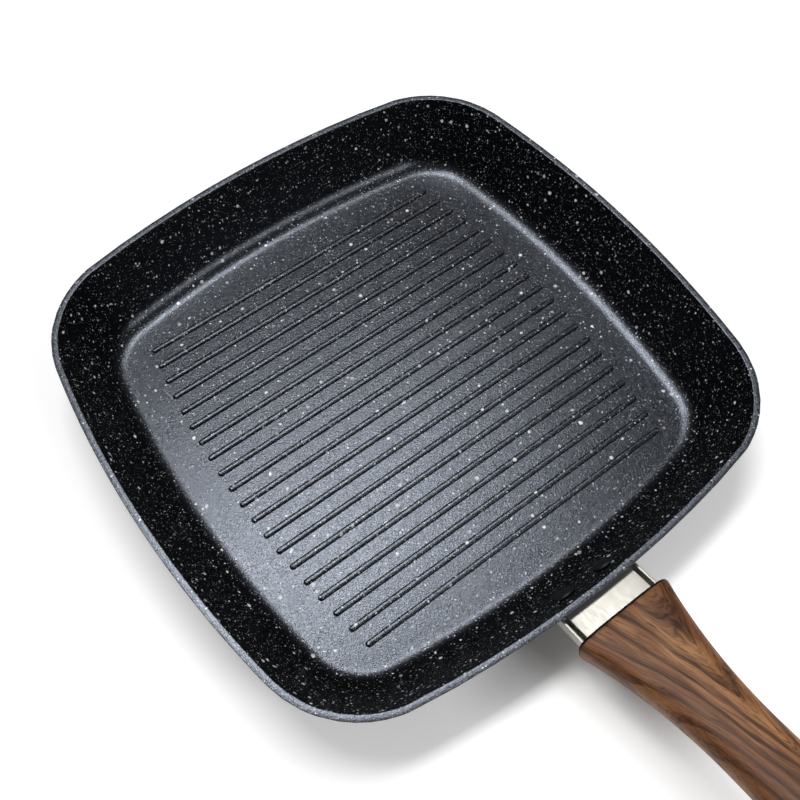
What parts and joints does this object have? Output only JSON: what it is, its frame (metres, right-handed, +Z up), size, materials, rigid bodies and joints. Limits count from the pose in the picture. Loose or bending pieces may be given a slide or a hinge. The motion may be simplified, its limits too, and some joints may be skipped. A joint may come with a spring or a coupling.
{
  "type": "grill pan",
  "caption": "Square grill pan with raised ribs, a speckled non-stick body, an induction plate in its base and a riveted wood-effect grip with a hanging slot.",
  "frame": {"origin": "middle of the base, on the surface that the pan stands on", "axes": "+X along the handle, +Y across the pan along the ribs, +Z up"},
  "size_m": [0.4719, 0.2796, 0.0842],
  "materials": {
    "granite_coating": "die-cast aluminium with a dark stone-effect non-stick coating, white and grey flecks",
    "induction_steel": "ferritic stainless steel, ground flat",
    "satin_steel": "satin stainless steel",
    "zinc_steel": "zinc-plated steel",
    "walnut_grip": "moulded phenolic with a walnut-effect film under satin lacquer"
  },
  "bodies": {
    "root": {"pan_body": "granite_coating", "induction_plate": "induction_steel", "rivet_left": "granite_coating", "rivet_right": "granite_coating", "handle_bracket": "satin_steel", "flame_guard": "satin_steel", "grip": "walnut_grip", "weld_nut": "zinc_steel", "flat_washer": "zinc_steel", "spring_washer": "zinc_steel", "handle_screw": "zinc_steel"}
  },
  "joints": []
}
